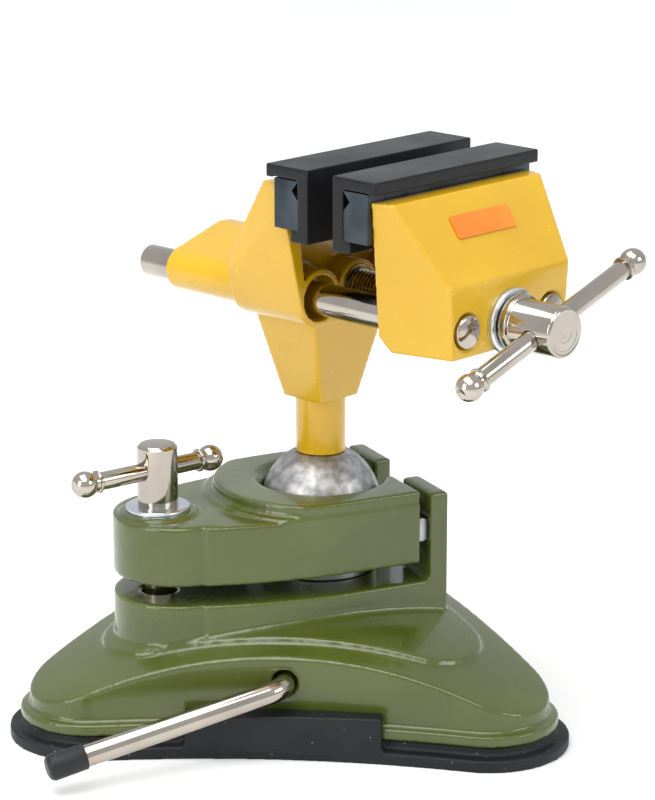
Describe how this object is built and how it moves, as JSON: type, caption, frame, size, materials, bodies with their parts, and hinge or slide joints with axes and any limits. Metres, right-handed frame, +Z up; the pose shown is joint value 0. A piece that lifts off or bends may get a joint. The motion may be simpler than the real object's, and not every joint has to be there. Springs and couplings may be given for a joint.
{
  "type": "suction-base bench vise",
  "caption": "Small bench vise with soft-covered jaws on a ball joint, clamped by a screw arm on a three-lobed suction foot with a side lever.",
  "frame": {"origin": "on the table, at the flat underside of the suction foot, straight under the middle of the ball joint", "axes": "+Z up, +X along the jaws, -Y the way the movable jaw opens, at rest"},
  "size_m": [0.1992, 0.1791, 0.1876],
  "materials": {
    "olive_paint": "glossy olive-green stoved paint on a die-casting",
    "yellow_paint": "glossy golden-yellow stoved paint on a die-casting",
    "pad_rubber": "soft black rubber, slightly dusty",
    "cover_rubber": "firm black moulded rubber",
    "cap_rubber": "black rubber dip",
    "nickel": "bright nickel plate",
    "zinc": "bluish zinc plate",
    "blued_steel": "blued hardened steel",
    "plain_steel": "plain machined steel",
    "ball_aluminium": "tumbled raw aluminium",
    "bronze": "bearing bronze",
    "label": "plain printed foil"
  },
  "bodies": {
    "base": {"base_casting": "olive_paint", "suction_pad": "pad_rubber", "arm_pivot_pins": "plain_steel", "clamp_nut": "plain_steel"},
    "pad_lift": {"pad_membrane": "pad_rubber", "lift_stud": "plain_steel"},
    "lever": {"lever_rod": "nickel", "lever_cam": "plain_steel", "lever_cap": "cap_rubber", "lever_clip": "plain_steel"},
    "arm": {"clamp_arm": "olive_paint"},
    "clamp_travel": {"clamp_washer": "zinc"},
    "clamp_screw": {"clamp_screw": "nickel"},
    "clamp_bar": {"clamp_bar": "nickel", "clamp_bar_knobs": "nickel"},
    "seat": {"ball_seat": "plain_steel"},
    "ball": {"swivel_ball": "ball_aluminium"},
    "head": {"ball_screw": "plain_steel", "swivel_post": "yellow_paint", "fixed_jaw": "yellow_paint", "spindle_nut": "bronze", "fixed_jaw_plate": "blued_steel", "fixed_jaw_screws": "plain_steel", "fixed_jaw_cover": "cover_rubber"},
    "jaw": {"movable_jaw": "yellow_paint", "guide_rods": "nickel", "movable_jaw_plate": "blued_steel", "movable_jaw_screws": "plain_steel", "movable_jaw_cover": "cover_rubber", "label_plate": "label", "spindle_washer": "zinc"},
    "spindle": {"spindle_screw": "nickel", "spindle_clip": "plain_steel"},
    "spindle_bar": {"spindle_bar": "nickel", "spindle_bar_knobs": "nickel"}
  },
  "joints": [
    {"name": "lever_turn", "type": "hinge", "parent": "base", "child": "lever", "pos_m": [-0.04645, -0.02886, 0.0235], "axis": [0.7716, 0.6361, 0], "range_deg": [0, 180]},
    {"name": "pad_lift", "type": "slide", "parent": "base", "child": "pad_lift", "axis": [0, 0, 1], "range_m": [0, 0.0024]},
    {"name": "clamp_travel", "type": "slide", "parent": "base", "child": "clamp_travel", "axis": [0, 0, 1], "range_m": [0, 0.0015]},
    {"name": "clamp_turn", "type": "hinge", "parent": "clamp_travel", "child": "clamp_screw", "pos_m": [-0.05433, 0.02031, 0.08], "axis": [0, 0, 1], "range_deg": [-5, 365]},
    {"name": "clamp_bar_slide", "type": "slide", "parent": "clamp_screw", "child": "clamp_bar", "axis": [0.989, -0.1478, 0], "range_m": [-0.0084, 0.0156]},
    {"name": "arm_lift", "type": "hinge", "parent": "base", "child": "arm", "pos_m": [0.02159, -0.00807, 0.062], "axis": [0.3502, 0.9367, 0], "range_deg": [0, 0.95]},
    {"name": "ball_swivel", "type": "hinge", "parent": "base", "child": "seat", "pos_m": [0, 0, 0.067], "axis": [0, 0, 1], "continuous": true},
    {"name": "ball_tilt", "type": "hinge", "parent": "seat", "child": "ball", "pos_m": [0, 0, 0.067], "axis": [1, 0, 0], "range_deg": [-40, 40]},
    {"name": "head_spin", "type": "hinge", "parent": "ball", "child": "head", "pos_m": [0, 0, 0.067], "axis": [0, 0, 1], "continuous": true},
    {"name": "jaw_slide", "type": "slide", "parent": "head", "child": "jaw", "axis": [0, -1, 0], "range_m": [-0.01, 0.059]},
    {"name": "spindle_turn", "type": "hinge", "parent": "jaw", "child": "spindle", "pos_m": [0, -0.08, 0.1424], "axis": [0, -1, 0], "range_deg": [-1210, 7090]},
    {"name": "spindle_bar_slide", "type": "slide", "parent": "spindle", "child": "spindle_bar", "axis": [0.9483, 0, 0.3173], "range_m": [-0.0295, 0.0225]}
  ],
  "couplings": [
    {"joint": "pad_lift", "follows": "lever_turn", "m_per_rad": 0.00076394},
    {"joint": "clamp_turn", "follows": "clamp_travel", "rad_per_m": 4188.8},
    {"joint": "arm_lift", "follows": "clamp_travel", "rad_per_m": 10.811},
    {"joint": "spindle_turn", "follows": "jaw_slide", "rad_per_m": 2094.4}
  ]
}
